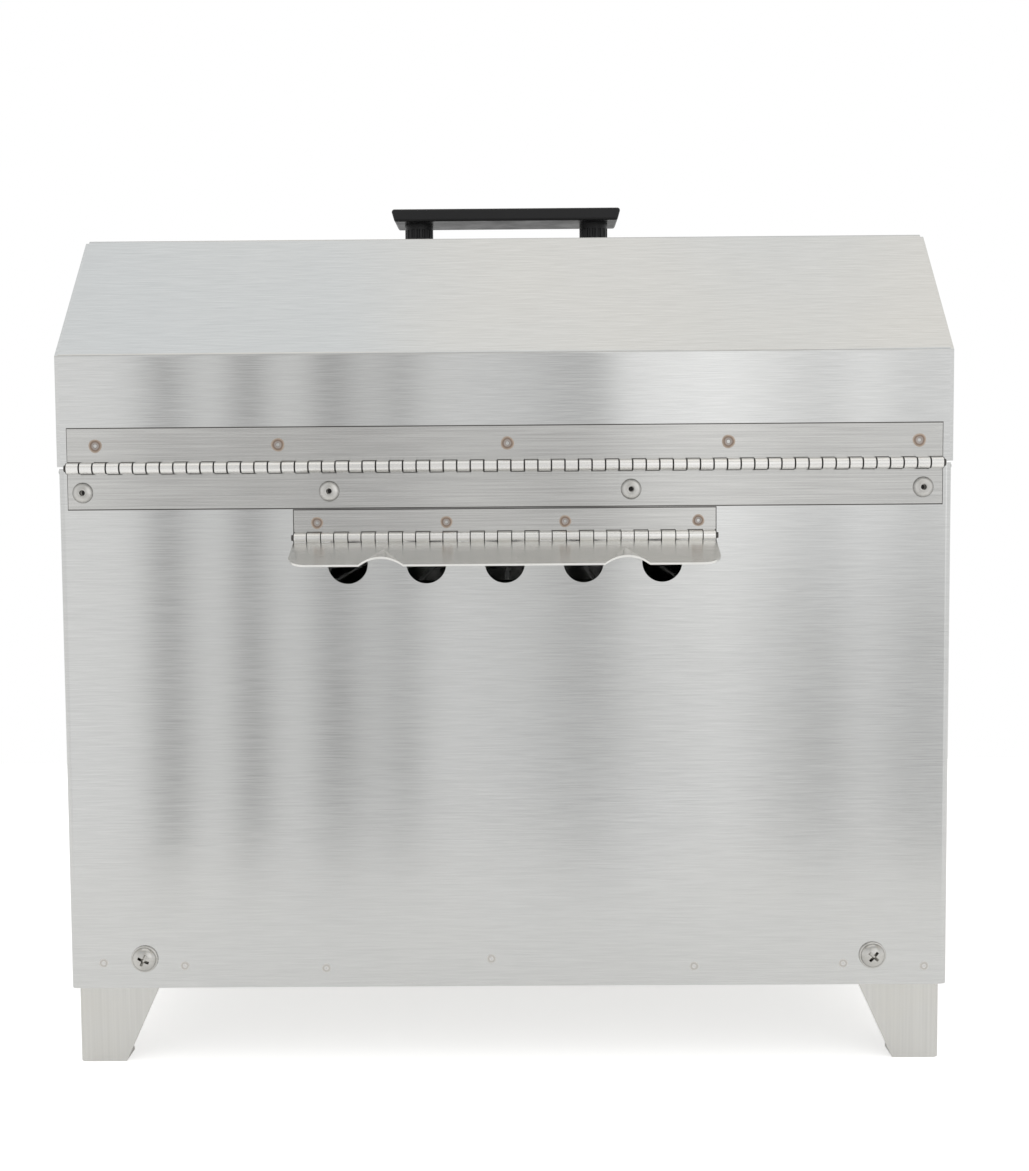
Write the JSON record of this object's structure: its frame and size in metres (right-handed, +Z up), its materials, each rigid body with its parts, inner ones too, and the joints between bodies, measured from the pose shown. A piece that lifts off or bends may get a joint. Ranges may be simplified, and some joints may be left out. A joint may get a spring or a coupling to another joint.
{
  "type": "electric chest smoker",
  "caption": "Bench-top electric smoker: brushed steel chest on angle legs, chamfered lid on a rear piano hinge, carry handle, rear vent flap, front heat control and chip drawer.",
  "frame": {"origin": "on the ground under the middle of the whole object's outline", "axes": "+Z up, -Y towards the front, the hinges on the +Y side, +X to the right seen from the front"},
  "size_m": [0.425, 0.451, 0.4355],
  "materials": {
    "brushed_sheet": "fine horizontal brushing",
    "pale_sheet": "fine brushing, paler",
    "hinge_steel": "drawn, satin",
    "bright_steel": "bright stainless",
    "black_grip": "moulded gloss",
    "black_plastic": "moulded, matt",
    "amber_lens": "clear tinted",
    "dial_white": "satin paint",
    "pointer_black": "satin paint",
    "clear_glass": "clear",
    "heater_sheath": "heat-darkened",
    "inner_sheet": "plain mill finish",
    "grate_chrome": "plated wire"
  },
  "bodies": {
    "body": {"body_wrap": "brushed_sheet", "front_panel": "brushed_sheet", "floor_pan": "pale_sheet", "leg_rear_left": "pale_sheet", "leg_rear_right": "pale_sheet", "leg_front_left": "pale_sheet", "leg_front_right": "pale_sheet", "leg_screws": "bright_steel", "leg_nuts": "bright_steel", "body_hinge_leaf": "hinge_steel", "lid_hinge_pin": "hinge_steel", "hinge_rivets": "bright_steel", "vent_hinge_leaf": "hinge_steel", "vent_hinge_pin": "hinge_steel", "control_housing": "brushed_sheet", "housing_screws": "bright_steel", "thermostat_body": "black_plastic", "thermostat_bulb": "heater_sheath", "switch_frame": "black_plastic", "pilot_lamp": "amber_lens", "power_inlet": "black_grip", "heating_element": "heater_sheath", "element_flange": "inner_sheet", "element_bracket": "inner_sheet", "drawer_runner_left": "inner_sheet", "drawer_runner_right": "inner_sheet", "drip_pan": "inner_sheet", "rack_left": "inner_sheet", "rack_right": "inner_sheet", "lower_grate": "grate_chrome", "upper_grate": "grate_chrome", "latch_pivots": "bright_steel"},
    "lid": {"lid_wrap": "brushed_sheet", "lid_gable_left": "brushed_sheet", "lid_gable_right": "brushed_sheet", "lid_hinge_leaf": "hinge_steel", "handle_bar": "black_grip", "handle_spacer_left": "black_grip", "handle_spacer_right": "black_grip", "handle_screws": "bright_steel", "keeper_studs": "bright_steel", "thermometer_case": "bright_steel", "thermometer_dial": "dial_white", "thermometer_glass": "clear_glass", "thermometer_nut": "bright_steel"},
    "flap": {"vent_flap": "brushed_sheet"},
    "hook_left": {"latch_hook_left": "bright_steel"},
    "hook_right": {"latch_hook_right": "bright_steel"},
    "knob": {"thermostat_knob": "black_grip"},
    "rocker": {"switch_rocker": "black_plastic"},
    "pointer": {"thermometer_pointer": "pointer_black"},
    "drawer": {"chip_tray": "inner_sheet", "drawer_front": "brushed_sheet", "drawer_knob": "bright_steel"}
  },
  "joints": [
    {"name": "lid_hinge", "type": "hinge", "parent": "body", "child": "lid", "pos_m": [0, 0.19695, 0.2885], "axis": [-1, 0, 0], "range_deg": [0, 100]},
    {"name": "vent_hinge", "type": "hinge", "parent": "body", "child": "flap", "pos_m": [0, 0.19675, 0.255], "axis": [1, 0, 0], "range_deg": [-70, 80]},
    {"name": "latch_left", "type": "hinge", "parent": "body", "child": "hook_left", "pos_m": [-0.14, -0.1675, 0.2485], "axis": [0, 1, 0], "range_deg": [0, 180]},
    {"name": "latch_right", "type": "hinge", "parent": "body", "child": "hook_right", "pos_m": [0.14, -0.1675, 0.2485], "axis": [0, -1, 0], "range_deg": [0, 180]},
    {"name": "thermostat_turn", "type": "hinge", "parent": "body", "child": "knob", "pos_m": [0.072, -0.208, 0.107], "axis": [0, 1, 0], "range_deg": [0, 270]},
    {"name": "switch_rock", "type": "hinge", "parent": "body", "child": "rocker", "pos_m": [0.138, -0.199, 0.115], "axis": [1, 0, 0], "range_deg": [0, 16]},
    {"name": "pointer_turn", "type": "hinge", "parent": "lid", "child": "pointer", "pos_m": [0, -0.135, 0.373], "axis": [0, 0.7071, -0.7071], "range_deg": [0, 240]},
    {"name": "drawer_slide", "type": "slide", "parent": "body", "child": "drawer", "axis": [0, -1, 0], "range_m": [0, 0.15]}
  ]
}
